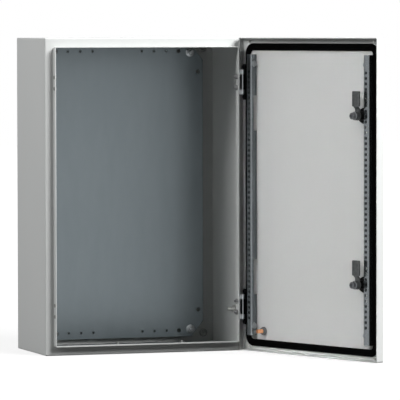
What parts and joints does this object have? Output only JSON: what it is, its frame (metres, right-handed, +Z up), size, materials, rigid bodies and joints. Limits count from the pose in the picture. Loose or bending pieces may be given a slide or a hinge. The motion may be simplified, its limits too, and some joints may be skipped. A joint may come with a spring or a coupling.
{
  "type": "steel enclosure",
  "caption": "Box-shaped painted steel enclosure with a hinged door, foam-sealed rim, inner mounting plate and quarter-turn cam locks.",
  "frame": {"origin": "centre of the base, half-way between the rear wall and the front flange", "axes": "+Z up, -Y towards the door side, +Y towards the wall, +X towards the hinge side"},
  "size_m": [0.5377, 0.5681, 0.6],
  "materials": {
    "powder_coat": "textured powder coat",
    "plate_zinc": "matt zinc plating",
    "galvanised": "galvanised sheet",
    "bright_zinc": "bright zinc plating",
    "black_steel": "black passivated steel",
    "black_plastic": "matt",
    "rubber": "matt",
    "foam": "foamed bead with a closed skin",
    "copper": "copper plating",
    "nylon": "satin"
  },
  "bodies": {
    "cabinet": {"body_shell": "powder_coat", "gland_gasket": "rubber", "gland_plate": "plate_zinc", "gland_screws": "bright_zinc", "wall_hole_rings": "rubber", "plate_studs": "bright_zinc", "mounting_plate": "plate_zinc", "plate_nuts": "bright_zinc", "hinge_bracket_upper": "bright_zinc", "hinge_bracket_lower": "bright_zinc", "hinge_pin_upper": "bright_zinc", "hinge_pin_lower": "bright_zinc", "hinge_nuts": "black_steel", "spare_hinge_plugs": "black_plastic", "body_earth_stud": "bright_zinc", "body_earth_nut": "bright_zinc"},
    "door": {"door_shell": "powder_coat", "door_gasket": "foam", "hinge_leaf_upper": "black_steel", "hinge_leaf_lower": "black_steel", "leaf_studs": "black_steel", "leaf_nuts": "black_steel", "rail_hinge_side": "galvanised", "rail_lock_side": "galvanised", "rail_clips": "bright_zinc", "rail_screws": "bright_zinc", "corner_buffers": "nylon", "lock_housing_upper": "black_plastic", "lock_housing_lower": "black_plastic", "lock_nut_upper": "black_plastic", "lock_nut_lower": "black_plastic", "door_earth_stud": "copper", "door_earth_nut": "bright_zinc"},
    "lock_upper": {"lock_spindle_upper": "bright_zinc", "lock_cam_upper": "plate_zinc", "cam_screw_upper": "bright_zinc"},
    "lock_lower": {"lock_spindle_lower": "bright_zinc", "lock_cam_lower": "plate_zinc", "cam_screw_lower": "bright_zinc"}
  },
  "joints": [
    {"name": "door_hinge", "type": "hinge", "parent": "cabinet", "child": "door", "pos_m": [0.1907, -0.1062, 0.3], "axis": [0, 0, 1], "range_deg": [-111, 14]},
    {"name": "lock_upper_turn", "type": "hinge", "parent": "door", "child": "lock_upper", "pos_m": [0.31925, -0.42072, 0.456], "axis": [-0.9336, -0.3584, 0], "range_deg": [-90, 0]},
    {"name": "lock_lower_turn", "type": "hinge", "parent": "door", "child": "lock_lower", "pos_m": [0.31925, -0.42072, 0.144], "axis": [-0.9336, -0.3584, 0], "range_deg": [-90, 0]}
  ]
}
